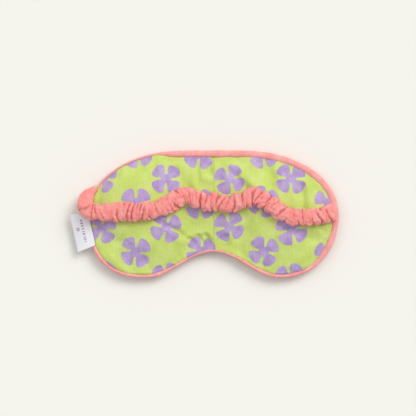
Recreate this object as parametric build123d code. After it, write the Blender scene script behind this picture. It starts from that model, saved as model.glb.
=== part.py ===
"""A padded sleep mask that lies flat, eye side up, with its gathered strap resting across the back.

Millimetres. +X runs to the mask's right end, +Y to its top edge, +Z away from the table.
The origin is on the table, under the middle of the nose bridge. The mask bends about an axis along Y.
"""

import os
from math import atan2, cos, degrees, hypot, radians, sin, sqrt, tan

from build123d import *

# Outline of the mask, measured over the piping.
mask_width = 224.0
mask_height = 112.0
cheek_radius = 45.5  # lower outer corner of each lobe
top_radius = 342.0  # long curve of the top edge
notch_depth = 23.0  # nose notch, up from the lowest edge
notch_radius = 27.6  # nose notch, at its top

# Thicknesses and heights.
pad_thickness = 20.0  # over the lobes
bridge_thickness = 14.0  # over the nose bridge
table_squash = 0.25  # how far the table presses the front panel flat
valley_radius = 60.0  # round valley that runs down to the bridge
seam_height = 9.0
bridge_flat = 26.2  # left flat over the nose bridge, between a panel's rise from either edge
panel_thickness = 1.2
layer_gap = 0.15  # left between one soft layer and the next

# Edge piping and seam.
piping_diameter = 4.4
cord_diameter = 2.2
flange_thickness = 0.8
flange_width = 6.0
flange_root = 0.2  # how far the flange reaches into the round of the piping
cord_clearance = 0.05  # between the cord and the strip round it
lip_width = 6.0  # seam allowance of each panel, turned inwards
thread_size = 0.4
thread_inset = 4.6  # seam thread, in from the panels' edge
tack_inset = 2.6  # first row of the bar tack, in from the panels' edge

# Inner pouch, full of wadding.
pouch_thickness = 0.6
pouch_setback = 0.45  # between the pouch and the seam allowances
pouch_steepness = 1.0  # how much shorter the pouch's rise is than a panel's

# Strap.
strap_width = 16.0
strap_thickness = 6.0
casing_wall = 1.2
elastic_width = 10.0
elastic_thickness = 1.2
strap_lift = 0.3  # clearance under the strap
strap_side_clearance = 3.5  # elbow's middle line, outside the panels' edge
arm_reach = 42.0  # from the bridge to the bend between an arm and a middle piece
arm_end_gap = 3.5  # an arm stops this short of that bend
middle_end_gap = 0.3  # each middle piece stops this short of the centre
left_path = [(-98, 10), (-84, 3), (-62, 2), (-42, 8), (-25, 17), (-12, 14), (0, 10.5)]
right_path = [(98, 3), (84, -2), (66, -2.5), (52, 8), (42, 13.5), (32, 14.5), (15, 9), (0, 10.5)]

# Strap end, sewn flat into the side seam.
tab_width = 16.0
tab_height = 4.0  # rise from the piping to the strap
tack_rows = 3
tack_pitch = 0.6

# Folded label on the left side.
label_length = 31.5
label_width = 17.0
label_thickness = 0.8
label_lean = 11.0  # degrees from upright, in plan
label_inset = 1.5  # start of its hinge line, in from the mask's left edge
label_rise = 9.9  # start of its hinge line, up from the mask's widest point
label_droop = 3.0
label_lift = 0.35  # clearance over the piping

# Bend about the nose bridge.
knuckle_radius = 12.0
body_gap = 0.3  # between two bodies
wrap_limit = 45.0  # degrees that each lobe swings up

# Worked out from the sizes above.
half_width = mask_width / 2
half_height = mask_height / 2
widest_y = -half_height + cheek_radius
piping_radius = piping_diameter / 2
panel_inset = piping_diameter
crown_steps = 6
crown_run = (mask_height - notch_depth - 2 * panel_inset - bridge_flat) / 2  # from edge to full height
pouch_run = crown_run - pouch_steepness
panel_top_seam = seam_height + flange_thickness / 2
panel_low_seam = seam_height - flange_thickness / 2
wrap_axis_z = bridge_thickness / 2
strap_z = pad_thickness + strap_lift + strap_thickness / 2
swing_axis_x = half_width - panel_inset + strap_side_clearance


def swing_to_wrap_ratio():
    """How far an arm turns up for each degree of wrap, so that the strap's two halves still meet."""
    reach = swing_axis_x - arm_reach
    ratio = sqrt(swing_axis_x / reach)
    for _ in range(20):
        axis_z = wrap_axis_z + (strap_z - wrap_axis_z) * ratio / (1 + ratio)
        wrap = radians(wrap_limit)
        end_x = swing_axis_x * cos(wrap) - (axis_z - wrap_axis_z) * sin(wrap)
        rise = strap_z - axis_z
        chord = hypot(reach, rise)
        turned = degrees(atan2(sqrt(chord**2 - (end_x - arm_reach) ** 2), end_x - arm_reach))
        ratio = (turned - degrees(atan2(rise, reach))) / wrap_limit
    return ratio


swing_ratio = swing_to_wrap_ratio()
swing_axis_z = wrap_axis_z + (strap_z - wrap_axis_z) * swing_ratio / (1 + swing_ratio)
elbow_radius = strap_z - swing_axis_z


def on_circle(centre, radius, angle):
    return (centre[0] + radius * cos(angle), centre[1] + radius * sin(angle))


def outline(inset):
    """The mask's outline, moved in by inset: five tangent arcs a side."""
    top = (0.0, half_height - top_radius)
    drop = widest_y - top[1]
    shoulder_radius = (top_radius**2 - half_width**2 - drop**2) / (2 * (top_radius - half_width))
    shoulder = (half_width - shoulder_radius, widest_y)
    cheek = (half_width - cheek_radius, widest_y)
    both = (cheek[0] ** 2 + notch_depth**2) / (2 * notch_depth)
    under_radius = both - notch_radius
    under = (cheek[0], -half_height + under_radius)
    notch = (0.0, -half_height + notch_depth - notch_radius)
    top_turn = atan2(shoulder[1] - top[1], shoulder[0] - top[0])
    notch_turn = atan2(under[1] - notch[1], under[0] - notch[0])
    quarter = radians(90)
    arcs = [
        (top, top_radius - inset, quarter, top_turn),
        (shoulder, shoulder_radius - inset, top_turn, 0.0),
        (cheek, cheek_radius - inset, 0.0, -quarter),
        (under, under_radius - inset, -quarter, notch_turn - 2 * quarter),
        (notch, notch_radius + inset, notch_turn, quarter),
    ]
    edges = []
    for centre, radius, begin, end in arcs:
        points = [on_circle(centre, radius, begin + (end - begin) * s) for s in (0.0, 0.5, 1.0)]
        edges.append(ThreePointArc(*points))
        edges.append(ThreePointArc(*[(-x, y) for x, y in points]))
    return Wire(edges)


def slab(inset, low, high):
    """A flat plate of the mask's outline between two heights."""
    return extrude(Pos(0, 0, low) * make_face(outline(inset)), high - low)


def crown(inset, base, height, run):
    """A pad's half: a quarter-ellipse side and a flat top, up from base, or down if height is negative."""
    sections = []
    for i in range(crown_steps + 1):
        turn = radians(90 * i / crown_steps)
        section = make_face(outline(inset + run * (1 - cos(turn))))
        sections.append(Pos(0, 0, base + height * sin(turn)) * section)
    return loft(sections)


def valley(offset):
    """The round valley over the nose bridge, for a surface that lies offset under the outer one."""
    axis_z = bridge_thickness + valley_radius
    return Pos(0, 0, axis_z) * Rot(90, 0, 0) * Cylinder(valley_radius + offset, 2 * mask_height)


def back_panel():
    """Printed panel on the eye side: a crown with its seam allowance turned in."""
    outer = crown(panel_inset, panel_top_seam, pad_thickness - panel_top_seam, crown_run) - valley(0)
    lip_top = panel_top_seam + panel_thickness
    inner_height = pad_thickness - panel_thickness - lip_top
    inner = crown(panel_inset + 2 * panel_thickness, lip_top, inner_height, crown_run)
    mouth = slab(panel_inset + lip_width, panel_top_seam - 1, lip_top + 1)
    return outer - (inner - valley(panel_thickness)) - mouth


def above(shape, height):
    """The part of a shape above a height."""
    room = 2 * mask_width
    return shape & (Pos(0, 0, height + room / 2) * Box(room, room, room))


def front_panel():
    """Printed panel on the outer side, pressed flat where it lies on the table."""
    outer = above(crown(panel_inset, panel_low_seam, -panel_low_seam - table_squash, crown_run), 0)
    lip_low = panel_low_seam - panel_thickness
    inner_height = lip_low - panel_thickness + table_squash
    inner = crown(panel_inset + 2 * panel_thickness, lip_low, -inner_height, crown_run)
    mouth = slab(panel_inset + lip_width, lip_low - 1, panel_low_seam + 1)
    return outer - above(inner, panel_thickness) - mouth


def edge_ring(radius):
    """A round ring along the edge, where the piping runs."""
    path = Pos(0, 0, seam_height) * outline(piping_radius)
    start = Plane(origin=(0, half_height - piping_radius, seam_height), z_dir=(1, 0, 0))
    return sweep(start * Circle(radius), path=path)


def piping():
    """Fabric strip wrapped round a cord, with its flat flange between the two panels."""
    flange = slab(piping_diameter - flange_root, panel_low_seam, panel_top_seam)
    flange -= slab(piping_diameter + flange_width, panel_low_seam - 1, panel_top_seam + 1)
    return edge_ring(piping_radius) + flange - edge_ring(cord_diameter / 2 + cord_clearance)


def seam_thread():
    """The line of thread on each panel's seam allowance."""
    rows = []
    for low in (panel_top_seam + panel_thickness, panel_low_seam - panel_thickness - thread_size):
        inset = panel_inset + thread_inset
        row = slab(inset, low, low + thread_size)
        rows.append(row - slab(inset + thread_size, low - 1, low + thread_size + 1))
    return rows


def pouch_shape(offset):
    """The inner pouch's form, moved in by offset."""
    inset = panel_inset + lip_width + pouch_setback + offset
    top = pad_thickness - panel_thickness - layer_gap - offset
    low = panel_thickness + layer_gap + offset
    upper = crown(inset, seam_height, top - seam_height, pouch_run)
    lower = crown(inset, seam_height, low - seam_height, pouch_run)
    return upper + lower - valley(panel_thickness + layer_gap + offset)


def pouch():
    return pouch_shape(0) - pouch_shape(pouch_thickness)


def fill():
    return pouch_shape(pouch_thickness + layer_gap)


def knuckle(radius):
    return Pos(0, 0, wrap_axis_z) * Rot(90, 0, 0) * Cylinder(radius, 2 * mask_height)


def split_over_bridge(whole):
    """One soft layer as three pieces that bend about the nose bridge."""
    side = Box(mask_width, 2 * mask_height, 4 * pad_thickness)
    pieces = {"bridge": [], "left": [], "right": []}
    for shape in whole if isinstance(whole, list) else [whole]:
        lobes = shape - knuckle(knuckle_radius + body_gap / 2)
        pieces["bridge"].append(shape & knuckle(knuckle_radius - body_gap / 2))
        pieces["left"].append(lobes & (Pos(-half_width, 0, 0) * side))
        pieces["right"].append(lobes & (Pos(half_width, 0, 0) * side))
    return {name: Compound([s for p in parts for s in p.solids()]) for name, parts in pieces.items()}


def rounded_path(points):
    """Straight runs joined by tangent arcs, as large as the runs allow."""
    vectors = [Vector(*p) for p in points]
    radii = []
    for before, here, after in zip(vectors, vectors[1:], vectors[2:]):
        turn = radians((here - before).get_angle(after - here))
        run = min((here - before).length, (after - here).length)
        radii.append(0.45 * run / tan(turn / 2))
    return FilletPolyline(*points, radius=radii)


def strap_profile(width, thickness):
    rounding = min(width, thickness) * 0.48
    return RectangleRounded(width, thickness, rounding)


def strap_run(side, path_points, width, thickness):
    """One half of the strap at full length: a quarter-turn elbow, then a level run to the centre."""
    turn_x = side * (swing_axis_x - elbow_radius)
    points = [(turn_x, path_points[0][1])] + path_points
    path = rounded_path([(x, y, strap_z) for x, y in points])
    start = Plane(origin=path @ 0, x_dir=(0, side, 0), z_dir=(-side, 0, 0))
    profile = start * strap_profile(width, thickness)
    axis = Axis((turn_x, points[0][1], swing_axis_z), (0, side, 0))
    return sweep(profile, path=path) + revolve(profile, axis, 90)


def cut_at(shape, low_x, high_x):
    room = 2 * mask_height
    return shape & (Pos((low_x + high_x) / 2, 0, strap_z) * Box(high_x - low_x, room, room))


def strap_pieces(side, path_points):
    """Casing and elastic of one strap half, each as an arm and a middle piece."""
    cavity = (strap_width - 2 * casing_wall, strap_thickness - 2 * casing_wall)
    whole = {
        "strap_casing": strap_run(side, path_points, strap_width, strap_thickness)
        - strap_run(side, path_points, *cavity),
        "elastic": strap_run(side, path_points, elastic_width, elastic_thickness),
    }
    bend = side * arm_reach
    limits = {
        "arm": sorted((side * mask_width, bend + side * arm_end_gap)),
        "middle": sorted((bend, side * middle_end_gap)),
    }
    return {
        f"{kind}_{stretch}": cut_at(shape, *limits[stretch])
        for kind, shape in whole.items()
        for stretch in limits
    }


def strap_tab(side, y):
    """The strap's flattened end: up out of the side seam, over the piping, to just under the elbow."""
    low = seam_height + piping_radius + layer_gap
    reach = swing_axis_x - half_width + panel_inset
    block = Pos(side * (swing_axis_x - reach / 2), y, low + tab_height / 2)
    block *= Box(reach, tab_width, tab_height)
    panel = crown(panel_inset - layer_gap, panel_top_seam, pad_thickness - panel_top_seam, crown_run)
    swept = Pos(side * swing_axis_x, 0, swing_axis_z) * Rot(90, 0, 0)
    swept *= Cylinder(strap_thickness / 2 + body_gap, 2 * mask_height)
    return block - panel - swept


def bar_tack(side, y):
    """Rows of dense stitching that hold the strap end on the seam allowance inside."""
    rows = []
    low = panel_top_seam + panel_thickness
    reach = Pos(side * half_width, y, low) * Box(half_width, tab_width, 4 * thread_size)
    for i in range(tack_rows):
        inset = panel_inset + tack_inset + tack_pitch * i
        row = slab(inset, low, low + thread_size)
        row -= slab(inset + thread_size, low - 1, low + thread_size + 1)
        rows.append(row & reach)
    return Compound([solid for row in rows for solid in row.solids()])


def label_frame():
    """Where the label's hinge line starts, and the way it runs, in plan."""
    lean = radians(label_lean)
    start = Vector(label_inset - half_width, widest_y + label_rise, 0)
    return start, Vector(sin(lean), -cos(lean), 0)


def side_label():
    """A folded ribbon that comes out of the side seam, over the piping, and droops past the edge."""
    start, along = label_frame()
    out = Vector(along.Y, -along.X, 0)
    height = seam_height + piping_radius + label_lift + label_thickness / 2
    path = FilletPolyline(
        (0, height), (label_width / 2, height), (label_width, height - label_droop), radius=label_width
    )
    ribbon = make_face(offset(path, label_thickness / 2, side=Side.BOTH))
    far_end = Plane(origin=start + along * label_length, x_dir=out, z_dir=-along)
    return extrude(far_end * ribbon, label_length)


def write(name, shape):
    solids = shape.solids()
    export_step(solids[0] if len(solids) == 1 else Compound(solids), f"parts/{name}.step")


def main():
    os.makedirs("parts", exist_ok=True)
    layers = {
        "back_panel": back_panel(),
        "front_panel": front_panel(),
        "piping": piping(),
        "piping_cord": edge_ring(cord_diameter / 2),
        "seam_thread": seam_thread(),
        "liner": pouch(),
        "wadding": fill(),
    }
    for layer, whole in layers.items():
        for place, piece in split_over_bridge(whole).items():
            write(f"{layer}_{place}", piece)
    for place, side, points in (("left", -1, left_path), ("right", 1, right_path)):
        for kind, piece in strap_pieces(side, points).items():
            write(f"{kind}_{place}", piece)
        write(f"strap_tab_{place}", strap_tab(side, points[0][1]))
        write(f"bar_tack_{place}", bar_tack(side, points[0][1]))
    write("side_label", side_label())
    print("swing ratio", round(swing_ratio, 5), "swing axis", swing_axis_x, round(swing_axis_z, 4))


main()
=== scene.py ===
import math
import random

import bmesh
import bpy
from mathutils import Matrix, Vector, noise
from mathutils.bvhtree import BVHTree
from mathutils.kdtree import KDTree


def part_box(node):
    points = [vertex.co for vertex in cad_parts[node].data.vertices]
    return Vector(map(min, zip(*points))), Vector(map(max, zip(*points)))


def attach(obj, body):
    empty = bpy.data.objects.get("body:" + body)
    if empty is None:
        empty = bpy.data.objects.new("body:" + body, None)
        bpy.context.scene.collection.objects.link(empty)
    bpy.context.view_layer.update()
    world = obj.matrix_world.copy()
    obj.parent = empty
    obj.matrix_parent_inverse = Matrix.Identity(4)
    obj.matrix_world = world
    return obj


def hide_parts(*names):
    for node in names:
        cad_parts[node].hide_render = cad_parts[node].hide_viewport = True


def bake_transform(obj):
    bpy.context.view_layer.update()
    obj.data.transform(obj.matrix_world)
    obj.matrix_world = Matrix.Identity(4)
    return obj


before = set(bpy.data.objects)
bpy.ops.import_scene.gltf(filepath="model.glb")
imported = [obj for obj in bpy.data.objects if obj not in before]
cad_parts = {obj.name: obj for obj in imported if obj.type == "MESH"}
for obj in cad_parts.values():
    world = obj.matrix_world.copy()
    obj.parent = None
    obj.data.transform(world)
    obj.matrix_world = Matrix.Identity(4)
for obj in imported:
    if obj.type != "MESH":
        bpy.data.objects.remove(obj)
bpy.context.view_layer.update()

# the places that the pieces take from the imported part
pipingLow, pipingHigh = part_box("piping_right")
halfWide = pipingHigh.x
halfTall = pipingHigh.y
seamZ = (pipingLow.z + pipingHigh.z) / 2
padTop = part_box("back_panel_right")[1].z
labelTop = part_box("side_label")[1].z
mm = 0.001


def smooth(low, high, value):
    # 0 at low, 1 at high, eased at both
    t = min(max((value - low) / (high - low), 0.0), 1.0)
    return t * t * (3 - 2 * t)


def mixed(a, b, t):
    return a + (b - a) * t


def linear(value):
    if value < 10:
        return value / 255 / 12.92
    return ((value / 255 + 0.055) / 1.055) ** 2.4


def srgb(red, green, blue):
    return (linear(red), linear(green), linear(blue), 1.0)


class Wire:
    # one shader value, so that sums on it read as sums
    def __init__(self, tree, socket):
        self.tree = tree
        self.socket = socket

    def calc(self, kind, *values):
        node = self.tree.nodes.new("ShaderNodeMath")
        node.operation = kind
        for slot, value in zip(node.inputs, values):
            plug(self.tree, slot, value)
        return Wire(self.tree, node.outputs[0])

    def __add__(self, other):
        return self.calc("ADD", self, other)

    def __radd__(self, other):
        return self.calc("ADD", other, self)

    def __sub__(self, other):
        return self.calc("SUBTRACT", self, other)

    def __rsub__(self, other):
        return self.calc("SUBTRACT", other, self)

    def __mul__(self, other):
        return self.calc("MULTIPLY", self, other)

    def __rmul__(self, other):
        return self.calc("MULTIPLY", other, self)

    def __truediv__(self, other):
        return self.calc("DIVIDE", self, other)

    def __pow__(self, other):
        return self.calc("POWER", self, other)

    def __abs__(self):
        return self.calc("ABSOLUTE", self)


def plug(tree, slot, value):
    if isinstance(value, Wire):
        tree.links.new(value.socket, slot)
    else:
        slot.default_value = value


class Look:
    def __init__(self, name, roughness=0.9, sheen=0.0, sheenTint=(1, 1, 1, 1)):
        self.material = bpy.data.materials.new(name)
        self.material.use_nodes = True
        self.tree = self.material.node_tree
        self.shader = self.tree.nodes["Principled BSDF"]
        self.shader.inputs["Roughness"].default_value = roughness
        self.shader.inputs["Sheen Weight"].default_value = sheen
        self.shader.inputs["Sheen Roughness"].default_value = 0.45
        self.shader.inputs["Sheen Tint"].default_value = sheenTint
        self.shader.inputs["Specular IOR Level"].default_value = 0.2

    def node(self, kind, settings=(), values=(), out=0):
        made = self.tree.nodes.new(kind)
        for name, value in dict(settings).items():
            setattr(made, name, value)
        for name, value in dict(values).items():
            plug(self.tree, made.inputs[name], value)
        return Wire(self.tree, made.outputs[out])

    def parts(self, vector):
        split = self.tree.nodes.new("ShaderNodeSeparateXYZ")
        self.tree.links.new(vector.socket, split.inputs[0])
        return [Wire(self.tree, o) for o in split.outputs]

    def join(self, x, y, z):
        return self.node("ShaderNodeCombineXYZ", values={"X": x, "Y": y, "Z": z})

    def cloud(self, where, scale, detail=2.0, rough=0.5):
        values = {"Vector": where, "Scale": scale, "Detail": detail, "Roughness": rough}
        return self.node("ShaderNodeTexNoise", values=values)

    def mix(self, factor, first, second):
        made = self.tree.nodes.new("ShaderNodeMix")
        made.data_type = "RGBA"
        # 6, 7 and output 2 are this node's colour sockets
        for slot, value in ((made.inputs[0], factor), (made.inputs[6], first), (made.inputs[7], second)):
            plug(self.tree, slot, value)
        return Wire(self.tree, made.outputs[2])

    def step(self, value, low, high):
        return self.node("ShaderNodeMapRange", {"interpolation_type": "SMOOTHSTEP"},
                         {"Value": value, "From Min": low, "From Max": high, "To Min": 0.0, "To Max": 1.0})

    def colour(self, value):
        plug(self.tree, self.shader.inputs["Base Color"], value)

    def bump(self, height, distance, strength):
        values = {"Height": height, "Distance": distance, "Strength": strength}
        plug(self.tree, self.shader.inputs["Normal"], self.node("ShaderNodeBump", values=values))


def newObject(name, bm, look):
    mesh = bpy.data.meshes.new(name)
    bm.to_mesh(mesh)
    bm.free()
    obj = bpy.data.objects.new(name, mesh)
    bpy.context.scene.collection.objects.link(obj)
    mesh.materials.append(look.material)
    for face in mesh.polygons:
        face.use_smooth = True
    return obj


def sheetGrid(along, around, place, weld=True, uv=None):
    # a grid whose vertices go where place(s, t) says, s and t from 0 to 1
    bm = bmesh.new()
    made = bmesh.ops.create_grid(bm, x_segments=along, y_segments=around, size=0.5)
    layer = bm.loops.layers.uv.new("flat")
    for face in bm.faces:
        for loop in face.loops:
            s, t = loop.vert.co.x + 0.5, loop.vert.co.y + 0.5
            loop[layer].uv = uv(s, t) if uv else (s, t)
    for vert in made["verts"]:
        vert.co = place(vert.co.x + 0.5, vert.co.y + 0.5)
    if weld:
        bmesh.ops.remove_doubles(bm, verts=bm.verts, dist=1e-6)
    return bm


def capEnds(bm):
    rim = [e for e in bm.edges if e.is_boundary]
    bmesh.ops.holes_fill(bm, edges=rim, sides=0)
    bmesh.ops.recalc_face_normals(bm, faces=bm.faces)


def cutAcross(bm, place, facing, clear=False):
    # a straight cut through the whole mesh, and with clear the far side goes
    everything = bm.verts[:] + bm.edges[:] + bm.faces[:]
    bmesh.ops.bisect_plane(bm, geom=everything, plane_co=place, plane_no=facing, clear_outer=clear)


# across is the width that the camera sees at the height called level, in metres
view = {
    "height": 1.6, "level": 0.015, "across": 0.3712, "offsetX": -0.0049, "offsetY": 0.0056,
    "sensor": 36.0,
}
stage = {
    "paper": (243, 240, 232), "sky": (0.93, 0.97, 1.0, 1), "fill": 0.46,
    "key": 1.55, "keySpread": 0.55, "keyFrom": (0.66, 0.70, 1.0),
    "soft": 0.80, "softSpread": 1.2, "softFrom": (-0.4, 0.5, 1.5),
}


def makeStage():
    camera = bpy.data.cameras.new("camera")
    camera.sensor_width = view["sensor"]
    camera.lens = view["sensor"] * (view["height"] - view["level"]) / view["across"]
    eye = bpy.data.objects.new("camera", camera)
    eye.location = (view["offsetX"], view["offsetY"], view["height"])
    bpy.context.scene.collection.objects.link(eye)
    bpy.context.scene.camera = eye

    bm = bmesh.new()
    bmesh.ops.create_grid(bm, x_segments=1, y_segments=1, size=4.0)
    paper = Look("paper", roughness=0.95)
    paper.colour(srgb(*stage["paper"]))
    floor = newObject("floor", bm, paper)

    world = bpy.data.worlds.new("studio")
    world.use_nodes = True
    back = world.node_tree.nodes["Background"]
    back.inputs["Color"].default_value = stage["sky"]
    back.inputs["Strength"].default_value = stage["fill"]
    bpy.context.scene.world = world
    for name in ("key", "soft"):
        light = bpy.data.lights.new(name, "SUN")
        light.energy = stage[name]
        light.angle = stage[name + "Spread"]
        lamp = bpy.data.objects.new(name, light)
        away = -Vector(stage[name + "From"])
        lamp.rotation_euler = away.to_track_quat("-Z", "Y").to_euler()
        bpy.context.scene.collection.objects.link(lamp)
    bpy.context.scene.view_settings.view_transform = "Standard"


makeStage()
print("stage made")


# shares of the half width and half height
sides = {
    "left": {
        "lobe": 0.536, "notch": 0.412, "middle": 0.0, "top": 0.23,
        "lowPower": 2.55, "highPower": 2.08,
    },
    "right": {
        "lobe": 0.527, "notch": 0.412, "middle": -0.018, "top": 0.21,
        "lowPower": 2.12, "highPower": 2.1,
    },
}
# the pairs say between which shares of the half width the trim changes
trim = {
    "narrow": 1.4 * mm, "side": 2.7 * mm, "wide": 5.3 * mm, "stretchTall": 1.02,
    "topFrom": (-0.46, -0.30), "rightFrom": (0.3, 0.5), "noseTo": (0.12, 0.42),
}


def sidePoints(name):
    # one half of the outline, from the nose round the lobe to the middle of the top
    shape = sides[name]
    lobe = shape["lobe"]
    middle = shape["middle"]
    top = shape["top"]
    lowBend = 2 / shape["lowPower"]
    highBend = 2 / shape["highPower"]
    points = []
    for i in range(40):
        rise = 0.5 + 0.5 * math.cos(math.pi * i / 40)
        points.append((lobe * i / 40, -1 + shape["notch"] * rise))
    for i in range(60):
        turn = math.pi / 2 * i / 60
        out = math.sin(turn) ** lowBend
        low = math.cos(turn) ** lowBend
        points.append((lobe + (1 - lobe) * out, middle - (1 + middle) * low))
    for i in range(61):
        turn = math.pi / 2 * i / 60
        out = max(math.cos(turn), 0.0) ** highBend
        high = math.sin(turn) ** highBend
        points.append((top + (1 - top) * out, middle + (1 - middle) * high))
    points.append((0.0, 1.0))
    sign = 1 if name == "right" else -1
    return [Vector((sign * x * halfWide, y * halfTall * trim["stretchTall"], 0)) for x, y in points]


def spaced(points, count):
    # the same line as count equal steps
    lengths = [0.0]
    for a, b in zip(points, points[1:]):
        lengths.append(lengths[-1] + (b - a).length)
    out, at = [], 0
    for i in range(count + 1):
        goal = lengths[-1] * i / count
        while at < len(points) - 2 and lengths[at + 1] < goal:
            at += 1
        span = max(lengths[at + 1] - lengths[at], 1e-12)
        out.append(points[at].lerp(points[at + 1], min(max((goal - lengths[at]) / span, 0.0), 1.0)))
    return out


steps = 150
outline = {name: spaced(sidePoints(name), steps) for name in sides}


def outwards(name):
    # unit vectors pointing out of the outline, level with the floor
    line = outline[name]
    found = []
    for i, point in enumerate(line):
        run = line[min(i + 1, steps)] - line[max(i - 1, 0)]
        normal = Vector((run.y, -run.x, 0)).normalized()
        found.append(normal if name == "right" else -normal)
    found[0], found[-1] = Vector((0, -1, 0)), Vector((0, 1, 0))
    return found


normals = {name: outwards(name) for name in sides}


def trimWidth(point, normal):
    # wide along the top and the right end, thin at the left shoulder and the nose
    share = point.x / halfWide
    top = smooth(*trim["topFrom"], share) * smooth(0.1, 0.6, normal.y)
    right = smooth(0.15, 0.6, normal.x * 0.9 + normal.y * 0.35) * smooth(*trim["rightFrom"], share)
    nose = 1 - smooth(*trim["noseTo"], abs(point.x) / halfWide)
    plain = mixed(trim["side"], trim["narrow"], nose * smooth(0.0, 0.5, -normal.y))
    plain = mixed(plain, trim["narrow"], smooth(0.15, 0.5, normal.y) * (1 - top))
    return mixed(plain, trim["wide"], max(top, right))


def seamLine(name, share):
    # the outline moved in by a share of the trim's width
    return [p - n * trimWidth(p, n) * share for p, n in zip(outline[name], normals[name])]


# one flower a cell; slot, flare and round shape its petals, and slip shifts every second row
printed = {
    "x": -42.4 * mm, "y": 30.8 * mm, "repeatX": 56.2 * mm, "repeatY": 42.8 * mm,
    "stray": 3.0 * mm, "turn": 0.75, "slip": 2.8 * mm, "seed": 3.0,
    "reach": 14.2 * mm, "heart": 4.3 * mm, "slot": 0.25 * mm, "flare": 0.075, "round": 3.4 * mm,
    "wander": 0.6 * mm, "soft": 0.25 * mm,
    "green": (219, 237, 118), "greenLight": (238, 250, 154), "greenDeep": (190, 211, 96),
    "lilac": (192, 160, 213), "lilacLight": (218, 197, 235), "lilacDeep": (166, 134, 196),
}


def printedFabric():
    look = Look("printed pile", roughness=0.85, sheen=0.35, sheenTint=(0.95, 1.0, 0.8, 1))
    flat = look.node("ShaderNodeUVMap", {"uv_map": "flat"})
    x, y, _ = look.parts(flat)
    x = x + (look.cloud(flat, 420.0, 3.0) - 0.5) * printed["wander"]
    y = y + (look.cloud(flat, 430.0, 3.0) - 0.5) * printed["wander"]
    best = None
    # two grids of flowers, the second half a cell over and up
    for shift, seed in ((0.0, printed["seed"]), (0.5, printed["seed"] + 7.0)):
        u = (x - printed["x"] - printed["slip"] * 2 * shift) / printed["repeatX"] + shift + 0.5
        v = (y - printed["y"]) / printed["repeatY"] + shift + 0.5
        cellX = u.calc("FLOOR", u)
        cellY = v.calc("FLOOR", v)
        dice = look.node("ShaderNodeTexWhiteNoise", {"noise_dimensions": "3D"},
                         {"Vector": look.join(cellX, cellY, seed)}, out=1)
        turnDice, shiftDiceX, shiftDiceY = look.parts(dice)
        px = (u - cellX - 0.5) * printed["repeatX"] + (shiftDiceX - 0.5) * printed["stray"]
        py = (v - cellY - 0.5) * printed["repeatY"] + (shiftDiceY - 0.5) * printed["stray"]
        away = (px * px + py * py) ** 0.5
        angle = u.calc("ARCTAN2", py, px) + (turnDice - 0.5) * printed["turn"] + math.pi / 4
        wedge = angle.calc("PINGPONG", angle + math.pi / 4 + 4 * math.pi, math.pi / 4)
        # wedge runs from 0 in a slot to a quarter turn's half at a petal's middle
        slot = printed["slot"] + away * printed["flare"] - away * wedge.calc("SINE", wedge)
        rim = away - printed["reach"] * (1.0 + 0.05 * (shiftDiceX - 0.5))
        spread = slot - rim
        petal = (slot + rim + (spread * spread + printed["round"] ** 2) ** 0.5) * 0.5
        flower = petal.calc("MINIMUM", petal, away - printed["heart"])
        best = flower if best is None else best.calc("MINIMUM", best, flower)
    ink = 1.0 - look.step(best, -printed["soft"], printed["soft"])

    mottled = look.cloud(flat, 55.0, 3.0, 0.6)
    pile = look.cloud(flat, 900.0, 2.0, 0.6)
    speck = look.step(look.cloud(flat, 1500.0, 2.0, 0.7), 0.36, 0.66)
    green = look.mix(look.step(mottled, 0.3, 0.72), srgb(*printed["green"]), srgb(*printed["greenLight"]))
    green = look.mix((1.0 - speck) * 0.6, green, srgb(*printed["greenDeep"]))
    faded = look.step(look.cloud(flat, 95.0, 4.0, 0.65), 0.36, 0.64)
    lilac = look.mix(faded, srgb(*printed["lilac"]), srgb(*printed["lilacLight"]))
    lilac = look.mix((1.0 - speck) * 0.55, lilac, srgb(*printed["lilacDeep"]))
    look.colour(look.mix(ink, green, lilac))
    ribs = x.calc("SINE", x * 5200.0)
    look.bump(pile + speck * 0.6 + ribs * 0.2, 0.0006, 0.7)
    return look


velours = {
    "trim": {"base": (248, 160, 155), "light": (254, 182, 177), "deep": (234, 138, 133), "scale": 1.0},
    "strap": {
        "base": (250, 146, 141), "light": (255, 174, 167), "deep": (238, 124, 119), "scale": 1.1,
        # the last colour is painted shade, laid into the strap's creases
        "creaseShade": (200, 84, 82),
    },
}


def velour(name, kind):
    values = velours[kind]
    scale = values["scale"]
    look = Look(name, roughness=0.9, sheen=0.5, sheenTint=(1.0, 0.8, 0.75, 1))
    flat = look.node("ShaderNodeTexCoord", out=3)
    pile = look.cloud(flat, 1100.0 * scale, 3.0, 0.65)
    patch = look.cloud(flat, 140.0 * scale, 3.0, 0.55)
    tone = look.mix(look.step(patch, 0.34, 0.68), srgb(*values["base"]), srgb(*values["light"]))
    tone = look.mix((1.0 - look.step(pile, 0.38, 0.6)) * 0.4, tone, srgb(*values["deep"]))
    # painted shade: the colour darkens where the strap's creases are deep
    if "creaseShade" in values:
        depth = look.node("ShaderNodeAttribute", {"attribute_name": "creaseShade"}, out=2)
        tone = look.mix(look.step(depth, 0.25, 1.0) * 0.7, tone, srgb(*values["creaseShade"]))
    look.colour(tone)
    look.bump(pile + patch * 0.5, 0.0006, 0.6)
    return look


printLook = printedFabric()
trimLook = velour("pink velour", "trim")
strapLook = velour("pink strap velour", "strap")
print("fabrics made")


# seam is the share of the trim's width where the panels are sewn, wall a share of the way to it
pad = {
    "cell": 2.6 * mm, "seam": 0.95, "wall": 0.1, "gap": 0.25 * mm,
    "pressure": 4.0, "frames": 20, "slack": -0.045, "weight": 0.01, "cap": 16 * mm,
    "tension": 12, "shear": 6, "bending": 0.08,
    "valley": 0.36, "valleyWide": 20 * mm, "belly": 3.5 * mm,
    "floor": 0.15 * mm, "settle": 2 * mm, "settleEase": 1.85 * mm,
}


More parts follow.
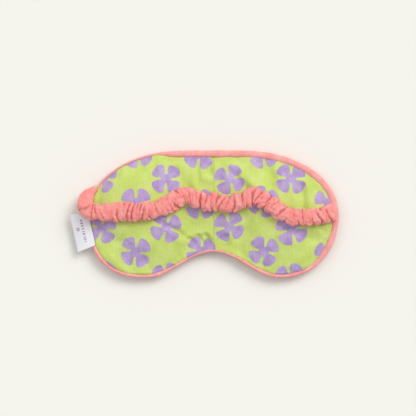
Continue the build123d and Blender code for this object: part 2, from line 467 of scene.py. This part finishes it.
def flatPad():
    # both panels as one closed flat bag, seam on its rim
    rim = seamLine("right", pad["seam"])[:-1] + seamLine("left", pad["seam"])[:0:-1]
    bm = bmesh.new()
    made = bmesh.ops.create_circle(bm, cap_ends=False, segments=len(rim), radius=1.0)
    ring = sorted(made["verts"], key=lambda v: math.atan2(v.co.y, v.co.x) % (2 * math.pi))
    for vert, point in zip(ring, rim):
        vert.co = point
    bmesh.ops.contextual_create(bm, geom=bm.edges[:] + bm.verts[:])
    across = int(halfWide / pad["cell"])
    tall = int(halfTall / pad["cell"])
    for i in range(-across, across + 1):
        cutAcross(bm, (i * pad["cell"], 0, 0), (1, 0, 0))
    for i in range(-tall - 1, tall + 2):
        cutAcross(bm, (0, i * pad["cell"], 0), (0, 1, 0))
    bmesh.ops.remove_doubles(bm, verts=bm.verts, dist=0.25 * mm)
    layer = bm.loops.layers.uv.new("flat")
    for face in bm.faces:
        for loop in face.loops:
            loop[layer].uv = loop.vert.co.xy
    bm.verts.index_update()
    tree = KDTree(sum(v.is_boundary for v in bm.verts))
    for v in bm.verts:
        if v.is_boundary:
            tree.insert(v.co, v.index)
    tree.balance()
    depth = [0.0 if v.is_boundary else tree.find(v.co)[2] for v in bm.verts]
    bm.verts.ensure_lookup_table()
    twin = bmesh.ops.duplicate(bm, geom=bm.verts[:] + bm.edges[:] + bm.faces[:])
    lower = {v for v in twin["geom"] if isinstance(v, bmesh.types.BMVert)}
    upper = [v for v in bm.verts if v not in lower]
    # each panel starts as a low dome
    for v, d in zip(upper, depth):
        v.co.z = math.sqrt(min(d / (30 * mm), 1.0)) * 5 * mm
    mirror = twin["vert_map"]
    for v in upper:
        mirror[v].co.z = -v.co.z
    under = [f for f in twin["geom"] if isinstance(f, bmesh.types.BMFace)]
    bmesh.ops.reverse_faces(bm, faces=under)
    for face in under:
        face.material_index = 1
    bmesh.ops.remove_doubles(bm, verts=bm.verts, dist=1e-6)
    bmesh.ops.recalc_face_normals(bm, faces=bm.faces)
    # the pressure pushes along the normals, so they have to point out of the bag
    if bm.calc_volume(signed=True) < 0:
        bmesh.ops.reverse_faces(bm, faces=bm.faces)
    return bm


def puff(obj, rimIndices):
    # the bag filled by cloth simulation, its rim held
    start = [v.co.copy() for v in obj.data.vertices]
    group = obj.vertex_groups.new(name="rim")
    group.add(rimIndices, 1.0, "REPLACE")
    cloth = obj.modifiers.new("cloth", "CLOTH")
    cloth.settings.quality = 6
    cloth.settings.mass = pad["weight"]
    cloth.settings.tension_stiffness = pad["tension"]
    cloth.settings.compression_stiffness = pad["tension"]
    cloth.settings.shear_stiffness = pad["shear"]
    cloth.settings.bending_stiffness = pad["bending"]
    cloth.settings.use_pressure = True
    cloth.settings.uniform_pressure_force = pad["pressure"]
    cloth.settings.shrink_min = pad["slack"]
    cloth.settings.vertex_group_mass = "rim"
    cloth.settings.effector_weights.gravity = 0
    cloth.collision_settings.use_collision = False
    cloth.point_cache.frame_start = 1
    cloth.point_cache.frame_end = pad["frames"]
    for number in range(1, pad["frames"] + 1):
        bpy.context.scene.frame_set(number)
    shown = obj.evaluated_get(bpy.context.evaluated_depsgraph_get())
    moved = [v.co.copy() for v in shown.data.vertices]
    obj.modifiers.clear()
    obj.vertex_groups.clear()
    for vert, before, after in zip(obj.data.vertices, start, moved):
        step = after - before
        if step.length > pad["cap"]:
            step *= pad["cap"] / step.length
        vert.co = before + step
    bpy.context.scene.frame_set(1)


# creases and valleys of the back panel: from, to (shares of the half sizes), depth and width in mm
creases = [
    ((-0.45, -0.10), (-0.30, -0.26), 1.6, 2.6),
    ((-0.30, -0.26), (-0.16, -0.46), 1.9, 3.2),
    ((-0.19, -0.40), (-0.07, -0.66), 5.0, 1.8),
    ((-0.12, -0.35), (-0.03, -0.62), 4.6, 1.7),
    ((-0.06, -0.34), (0.01, -0.58), 3.2, 1.8),
    ((-0.05, 1.00), (-0.04, 0.66), 3.4, 3.6),
    ((0.14, 0.66), (0.31, 0.30), 3.0, 4.0),
    ((0.70, 0.44), (0.71, 0.08), 3.2, 3.8),
    ((-0.93, 0.42), (-0.82, 0.64), 1.8, 4.0),
    ((-0.30, 0.66), (-0.16, 0.30), 1.3, 4.5),
    ((0.42, 0.76), (0.50, 0.42), 1.2, 5.0),
    ((0.84, -0.42), (0.62, -0.26), 1.2, 5.0),
    ((-0.62, 0.90), (-0.56, 0.66), 1.2, 3.6),
    ((0.10, -0.36), (0.03, -0.64), 3.2, 2.2),
    ((0.96, -0.10), (0.80, -0.08), 1.4, 3.0),
    ((-0.86, -0.55), (-0.66, -0.36), 1.0, 5.0),
    ((0.30, -0.52), (0.36, -0.82), 1.0, 4.0),
]


def creaseDepth(point):
    total = 0.0
    for begin, end, depth, width in creases:
        a = Vector((begin[0] * halfWide, begin[1] * halfTall))
        b = Vector((end[0] * halfWide, end[1] * halfTall))
        along = b - a
        t = (point - a).dot(along) / along.length_squared
        nearest = a + along * min(max(t, 0.0), 1.0)
        away = (point - nearest).length / (width * mm)
        total += depth * mm * (math.exp(-away * away) - 0.35 * math.exp(-((away - 1.7) ** 2)))
    return total


def shapePad(bm):
    # the puffed bag brought to its heights, flat where it lies, valley over the bridge, creased
    top = max(v.co.z for v in bm.verts)
    deep = -min(v.co.z for v in bm.verts)
    for v in bm.verts:
        panels = {f.material_index for f in v.link_faces}
        if len(panels) > 1:
            v.co.z = seamZ
            continue
        flat = Vector((v.co.x, v.co.y))
        bulge = noise.noise(Vector((v.co.x, v.co.y, 0)) * 34.0) * 1.5 * mm
        bulge += noise.noise(Vector((v.co.x, v.co.y, 5)) * 95.0) * 0.5 * mm
        if 0 in panels:
            share = max(v.co.z, 0.0) / top
            rise = share * (padTop - seamZ)
            valley = 1 - pad["valley"] * math.exp(-((v.co.x / pad["valleyWide"]) ** 2))
            wrinkled = rise * valley + (bulge - creaseDepth(flat)) * smooth(0.0, 0.5, share)
            v.co.z = seamZ + max(wrinkled, 0.3 * rise, pad["gap"])
        else:
            share = max(-v.co.z, 0.0) / deep
            drop = share * (seamZ + pad["belly"])
            low = seamZ - max(drop - bulge * 0.5 * smooth(0.0, 0.5, share), 0.3 * drop, pad["gap"])
            # what would go through the floor flattens just above it
            if low <= pad["settle"]:
                flattened = math.exp((low - pad["settle"]) / pad["settleEase"])
                low = pad["floor"] + pad["settleEase"] * flattened
            v.co.z = low


def halfPanel(source, name, side, upper, look):
    # one panel's half, with a wall
    bm = bmesh.new()
    bm.from_mesh(source.data)
    others = [f for f in bm.faces if (f.material_index == 0) != upper]
    bmesh.ops.delete(bm, geom=others, context="FACES")
    for face in bm.faces:
        face.material_index = 0
    sign = 1 if side == "right" else -1
    cutAcross(bm, (0, 0, 0), (-sign, 0, 0), True)
    for v in bm.verts:
        if abs(v.co.x) < 1e-6:
            v.co.x = 0.0
    bmesh.ops.recalc_face_normals(bm, faces=bm.faces)
    up = sum(f.normal.z * f.calc_area() for f in bm.faces)
    if (up > 0) != upper:
        bmesh.ops.reverse_faces(bm, faces=bm.faces)
    # the wall thins towards the seam, so the two panels never cross
    made = bmesh.ops.extrude_face_region(bm, geom=bm.faces[:], use_keep_orig=True)
    for v in made["geom"]:
        if isinstance(v, bmesh.types.BMVert):
            v.co.z = mixed(v.co.z, seamZ, pad["wall"])
    bmesh.ops.remove_doubles(bm, verts=bm.verts, dist=1e-6)
    bmesh.ops.recalc_face_normals(bm, faces=bm.faces)
    return newObject(name, bm, look)


def makePad():
    bm = flatPad()
    bag = newObject("bag", bm, printLook)
    bag.data.materials.append(trimLook.material)
    rim = [v.index for v in bag.data.vertices if abs(v.co.z) < 1e-7]
    puff(bag, rim)
    bm = bmesh.new()
    bm.from_mesh(bag.data)
    bmesh.ops.subdivide_edges(bm, edges=bm.edges[:], cuts=1, use_grid_fill=True, smooth=0.6)
    for _ in range(2):
        inner = [v for v in bm.verts if abs(v.co.z) > 1e-5]
        bmesh.ops.smooth_vert(
            bm, verts=inner, factor=0.5, use_axis_x=True, use_axis_y=True, use_axis_z=True
        )
    shapePad(bm)
    bm.to_mesh(bag.data)
    bm.free()
    panels = {}
    for side in sides:
        panels["back", side] = halfPanel(bag, "back_skin_" + side, side, True, printLook)
        panels["front", side] = halfPanel(bag, "front_skin_" + side, side, False, trimLook)
    height = BVHTree.FromObject(bag, bpy.context.evaluated_depsgraph_get())
    bpy.data.objects.remove(bag)
    return panels, height


panels, padHeight = makePad()
for (layer, side), panel in panels.items():
    sign = 1 if side == "right" else -1
    start = (sign * 4 * mm, 0, 7 * mm)
    end = (sign * 34 * mm, 0, 7 * mm)
    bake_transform(panel)
    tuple(end)
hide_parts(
    "back_panel_left", "back_panel_bridge", "liner_left", "wadding_left",
    "wadding_bridge", "liner_bridge",
)
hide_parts("back_panel_right", "liner_right", "wadding_right")
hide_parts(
    "front_panel_left", "front_panel_bridge", "seam_thread_left",
    "seam_thread_bridge",
)
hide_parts("front_panel_right", "seam_thread_right")
print("pad made")


roll = {"along": 300, "around": 16, "tall": 2.5 * mm, "tuck": 0.35 * mm}


def makeRoll(side):
    line, face = outline[side], normals[side]

    def place(s, t):
        at = s * steps
        i = min(int(at), steps - 1)
        point = line[i].lerp(line[i + 1], at - i)
        normal = face[i].lerp(face[i + 1], at - i).normalized()
        wide = trimWidth(point, normal) / 2 + roll["tuck"]
        lumps = noise.noise(point * 90.0) * 0.45 * mm + noise.noise(point * 260.0) * 0.22 * mm
        turn = 2 * math.pi * t
        centre = point - normal * (wide - 0.2 * mm)
        across = math.copysign(abs(math.cos(turn)) ** 0.9, math.cos(turn))
        tall = mixed(roll["tall"] * 0.8, roll["tall"], smooth(1.5 * mm, 3.5 * mm, wide)) + lumps
        return centre + normal * across * (wide + lumps) + Vector((0, 0, seamZ + math.sin(turn) * tall))

    bm = sheetGrid(roll["along"], roll["around"], place)
    capEnds(bm)
    obj = newObject("edge_roll_" + side, bm, trimLook)
    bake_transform(obj)
    return obj


rollLeft, rollRight = makeRoll("left"), makeRoll("right")
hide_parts("piping_left", "piping_bridge", "piping_cord_left", "piping_cord_bridge")
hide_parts("piping_right", "piping_cord_right")
print("edge roll made")


# casing is the tube pressed flat; plain and free are the stretches, measured from each end, where the
# gathers and the slump set in
strap = {
    "wide": 7.6 * mm, "tall": 4.7 * mm, "pitchLow": 1.8 * mm, "pitchHigh": 6.4 * mm, "depth": 3.2 * mm,
    "step": 0.5 * mm, "around": 56, "seed": 11, "shift": 1.0 * mm, "lean": 3.8 * mm, "crumple": 0.95 * mm,
    "gathering": 1.3, "ease": 8 * mm, "slump": 0.85, "casing": 22 * mm, "split": 78 * mm,
    "plainLeft": (14 * mm, 30 * mm), "plainRight": (2 * mm, 12 * mm),
    "freeLeft": (34 * mm, 50 * mm), "freeRight": (18 * mm, 34 * mm), "overPad": 0.35 * mm,
}
# the strap's middle line in mm
strapPath = [
    (-105.5, 22.6, 9), (-110.2, 19.2, 10.6), (-113.6, 14, 13.6), (-114, 8.4, 17.6), (-110, 3.6, 20.8),
    (-102, 1.6, 22.4), (-92, 1.6, 23), (-80, 2, 24.2), (-66, 2, 24.2), (-51, 4.7, 24), (-39, 9.1, 24),
    (-30, 14.3, 24), (-21, 15.8, 23.4), (-13, 13, 22.6), (-4, 10.5, 22), (4, 10.8, 22), (16, 9, 22.8),
    (28, 12.5, 24), (36, 15, 24.2), (47, 11, 24.2), (57, 4.2, 24.2), (66, -1.5, 24.2), (76, -2.6, 24),
    (86, -2, 23.4), (96, -0.4, 21.5), (102.5, 1.2, 18), (106.3, 2.2, 14.2), (107.4, 2.6, 10.2),
]
knots = [(-66, 9), (-26, 7), (70, 10)]  # where the gathers bunch up: x and half length in mm


def splineThrough(points, step):
    # Catmull-Rom through the points, at even steps
    dots = [Vector(p) * mm for p in points]
    dots = [2 * dots[0] - dots[1]] + dots + [2 * dots[-1] - dots[-2]]
    fine = []
    for a, b, c, d in zip(dots, dots[1:], dots[2:], dots[3:]):
        for i in range(16):
            t = i / 16
            squared = (2 * a - 5 * b + 4 * c - d) * t * t
            cubed = (3 * b - a - 3 * c + d) * t ** 3
            fine.append(0.5 * (2 * b + (c - a) * t + squared + cubed))
    fine.append(dots[-2])
    length = sum((b - a).length for a, b in zip(fine, fine[1:]))
    return spaced(fine, int(length / step)), length


def laidOnPad(line):
    # the line lowered until the strap rests on the pad, away from its two ends
    found = []
    for i, point in enumerate(line):
        highest = 0.0
        for side in (-5 * mm, 0.0, 5 * mm):
            hit = padHeight.ray_cast(Vector((point.x, point.y + side, 0.1)), Vector((0, 0, -1)))
            if hit[0]:
                highest = max(highest, hit[0].z)
        found.append(highest + strap["tall"] * 0.92 if highest else point.z)
    reach = int(strap["ease"] / strap["step"])
    laid = []
    for i, point in enumerate(line):
        near = found[max(i - reach, 0):i + reach + 1]
        rest = sum(near) / len(near)
        free = smooth(*strap["freeLeft"], i * strap["step"])
        free *= smooth(*strap["freeRight"], (len(line) - 1 - i) * strap["step"])
        z = mixed(point.z, min(rest, point.z), free * strap["slump"])
        laid.append(Vector((point.x, point.y, z)))
    return laid


def makeStrap():
    line, length = splineThrough(strapPath, strap["step"])
    line = laidOnPad(line)
    count = len(line) - 1
    dice = random.Random(strap["seed"])
    folds = []
    at = 0.0
    while at < length + 8 * mm:
        x = line[min(int(at / length * count), count)].x / mm
        knot = min(sum(math.exp(-(((x - middle) / half) ** 2)) for middle, half in knots), 1.0)
        pitch = dice.uniform(strap["pitchLow"], strap["pitchHigh"]) * (1 - 0.45 * knot)
        lean = strap["lean"] * noise.noise(Vector((at * 34, 0.7, 0))) * 1.6
        folds.append({
            "at": at,
            "depth": dice.uniform(0.4, 1.05),
            "wave": dice.uniform(-0.4, 0.4) * pitch,
            "turn": dice.uniform(0, 6.28),
            "wave2": dice.uniform(-0.22, 0.22) * pitch,
            "turn2": dice.uniform(0, 6.28),
            "fade": dice.uniform(0, 6.28),
            "wide": dice.uniform(-0.13, 0.17),
            "shift": dice.uniform(-1, 1) * strap["shift"],
            "lean": lean + dice.uniform(-0.6, 0.6) * mm,
        })
        at += pitch

    def creaseAt(fold, angle):
        wander = fold["wave"] * math.sin(angle + fold["turn"])
        wander += fold["wave2"] * math.sin(2 * angle + fold["turn2"])
        return fold["at"] + wander + fold["lean"] * math.cos(angle)

    shade = []

    def place(s, t):
        i = min(int(round(s * count)), count)
        run = (line[min(i + 6, count)] - line[max(i - 6, 0)]).normalized()
        side = Vector((0, 0, 1)).cross(run).normalized()
        up = run.cross(side).normalized()
        angle = 2 * math.pi * t
        c = math.cos(angle)
        z = math.sin(angle)
        where = s * length
        k = 0
        while k < len(folds) - 2 and creaseAt(folds[k + 1], angle) < where:
            k += 1
        before = creaseAt(folds[k], angle)
        after = creaseAt(folds[k + 1], angle)
        share = min(max((where - before) / max(after - before, 0.4 * mm), 0.0), 1.0)
        crown = math.sin(math.pi * share) ** 0.62
        nearer = folds[k] if share < 0.5 else folds[k + 1]
        fade = min(max(0.6 + 0.75 * math.sin(angle + nearer["fade"]), 0.15), 1.0)
        # smooth cloth at both ends, gathers between them
        gather = smooth(*strap["plainLeft"], where) * smooth(*strap["plainRight"], length - where)
        depth = strap["depth"] * nearer["depth"] * fade * gather * min((after - before) / (3.4 * mm), 1.1)
        warp = noise.noise(Vector((where * 120, c * 1.5, z * 1.5))) * 0.9
        vein = abs(noise.noise(Vector((where * 230 + warp, c * 1.1 + 4, z * 1.1))))
        crumple = strap["crumple"] * max(1 - vein / 0.16, 0.0) * mixed(0.25, 1.0, gather)
        ease = smooth(0, 1, share)
        macro = 1 + 0.10 * noise.noise(Vector((where * 55, 3.1, 0)))
        macro += mixed(folds[k]["wide"], folds[k + 1]["wide"], ease) * gather
        ends = mixed(0.45, 0.88, smooth(0, 13 * mm, where)) + 0.16 * smooth(14 * mm, 24 * mm, where)
        wide = strap["wide"] * macro * ends
        tall = strap["tall"] * (1 + 0.12 * noise.noise(Vector((where * 70, 9.3, 0))))
        tall *= mixed(0.66, 1.0, gather)
        inward = depth * (1 - crown) + crumple
        shade.append(min(inward / (1.9 * mm), 1.0))
        across = math.copysign(abs(c) ** 0.85, c) * (wide - inward)
        across += mixed(folds[k]["shift"], folds[k + 1]["shift"], ease) * gather
        high = math.copysign(abs(z) ** 0.9, z) * (tall - inward * 0.9)
        lump = noise.noise(Vector((where * 420, c * 2.6, z * 2.6))) * 0.3 * mm
        return line[i] + side * across + up * (high + lump)

    bm = sheetGrid(count, strap["around"], place, weld=False)
    # how deep in a crease each point lies, for the painted shade in the colour
    creaseShade = bm.verts.layers.float.new("creaseShade")
    for vert, deep in zip(bm.verts, shade):
        vert[creaseShade] = deep
    bmesh.ops.remove_doubles(bm, verts=bm.verts, dist=1e-6)
    # laid on the pad
    for v in bm.verts:
        if abs(v.co.x) < 100 * mm:
            hit = padHeight.ray_cast(Vector((v.co.x, v.co.y, 0.1)), Vector((0, 0, -1)))
            if hit[0] and v.co.z < hit[0].z + strap["overPad"]:
                v.co.z = hit[0].z + strap["overPad"]
    bmesh.ops.recalc_face_normals(bm, faces=bm.faces)
    return newObject("strapWhole", bm, strapLook), line


def strapPart(whole, name, low, high):
    bm = bmesh.new()
    bm.from_mesh(whole.data)
    for x, sign in ((low, -1), (high, 1)):
        if x is not None:
            cutAcross(bm, (x, 0, 0), (sign, 0, 0), True)
    capEnds(bm)
    obj = newObject(name, bm, strapLook)
    return obj


strapWhole, strapLine = makeStrap()
split = strap["split"]
pieces = {
    "left": (
        strapPart(strapWhole, "strap_end_left", None, -split),
        strapPart(strapWhole, "strap_gathers_left", -split, 0.0),
    ),
    "right": (
        strapPart(strapWhole, "strap_end_right", split, None),
        strapPart(strapWhole, "strap_gathers_right", 0.0, split),
    ),
}
bpy.data.objects.remove(strapWhole)


def runBetween(low, high):
    # the middle line's length between two places along x
    return sum((b - a).length for a, b in zip(strapLine, strapLine[1:]) if low <= a.x < high)


runs = {
    "left": (runBetween(-1, -split), runBetween(-split, 0)),
    "right": (runBetween(split, 1), runBetween(0, split)),
}
for side, (end, gathers) in pieces.items():
    sign = 1 if side == "right" else -1
    edge = sign * (halfWide - 2 * mm)
    arm = side + "_strap_arm"
    middle = side + "_strap_middle"
    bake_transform(end)
    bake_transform(gathers)
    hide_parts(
        "strap_casing_arm_" + side, "strap_tab_" + side, "bar_tack_" + side, "elastic_arm_" + side
    )
    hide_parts("strap_casing_middle_" + side, "elastic_middle_" + side)
    for piece, run in zip((end, gathers), runs[side]):
        size = (strap["casing"], run * strap["gathering"])
print("strap made")


label = {
    "long": 31.5 * mm, "out": 17.2 * mm, "thick": 0.45 * mm, "droop": 3.2 * mm, "sag": 0.8 * mm,
    "ringWide": 1.1 * mm, "ringLine": (0.3 * mm, 0.5 * mm),
    "ink": (150, 110, 178), "satin": (234, 232, 233), "shine": (246, 245, 246),
}


def labelLook():
    look = Look("satin label", roughness=0.42)
    look.shader.inputs["Specular IOR Level"].default_value = 0.4
    flat = look.node("ShaderNodeUVMap", {"uv_map": "flat"})
    u, v, _ = look.parts(flat)
    # two broken lines of plain bars, and a ring, in place of lettering
    bars = u.calc("PINGPONG", v * 26.0, 1.0)
    broken = look.step(look.cloud(look.join(u * 0.0, v * 24.0, 3.0), 1.0, 0.0), 0.42, 0.46)
    line = (1.0 - look.step(abs(u - 0.46), 0.055, 0.07)) * look.step(bars, 0.35, 0.45) * broken
    line = line * look.step(v, 0.16, 0.17) * (1.0 - look.step(v, 0.80, 0.81))
    dx = (u - 0.72) * label["out"]
    dy = (v - 0.42) * label["long"]
    away = (dx * dx + dy * dy) ** 0.5
    mark = 1.0 - look.step(abs(away - label["ringWide"]), *label["ringLine"])
    ink = line.calc("MAXIMUM", line, mark)
    cloth = look.mix(look.cloud(flat, 12.0, 2.0), srgb(*label["satin"]), srgb(*label["shine"]))
    look.colour(look.mix(ink * 0.9, cloth, srgb(*label["ink"])))
    weave = u.calc("SINE", u * 420.0) * 0.5 + v.calc("SINE", v * 800.0) * 0.5
    look.bump(weave, 0.00006, 0.4)
    return look


def makeLabel():
    root = Vector((-halfWide + 0.2 * mm, 0.9 * mm, 0))
    along = Vector((0.215, -0.977, 0)).normalized()
    out = Vector((-0.985, -0.08, 0)).normalized()

    def place(s, t):
        # s runs out from the seam, t down the label and back round its fold
        loop = 2 * math.pi * t
        down = 0.5 - 0.5 * math.cos(loop)
        wall = math.copysign(min(abs(math.sin(loop)) * 6, 1.0), math.sin(loop)) * label["thick"] / 2
        reach = label["out"] * s
        droop = label["droop"] * s * s + label["sag"] * math.sin(math.pi * down) * s
        spread = out.lerp(Vector((-0.965, -0.26, 0)), down).normalized()
        point = root + along * label["long"] * down * mixed(0.93, 1.0, s) + spread * reach
        point.z = labelTop - 0.4 * mm - droop + wall + 0.5 * mm * math.sin(4.2 * down + 1.0) * s
        return point

    def flat(s, t):
        return (s, 0.5 - 0.5 * math.cos(2 * math.pi * t))

    bm = sheetGrid(16, 48, place, uv=flat)
    capEnds(bm)
    obj = newObject("satin_label", bm, labelLook())
    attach(obj, "label")
    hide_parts("side_label")
    return obj


makeLabel()
print("label made")
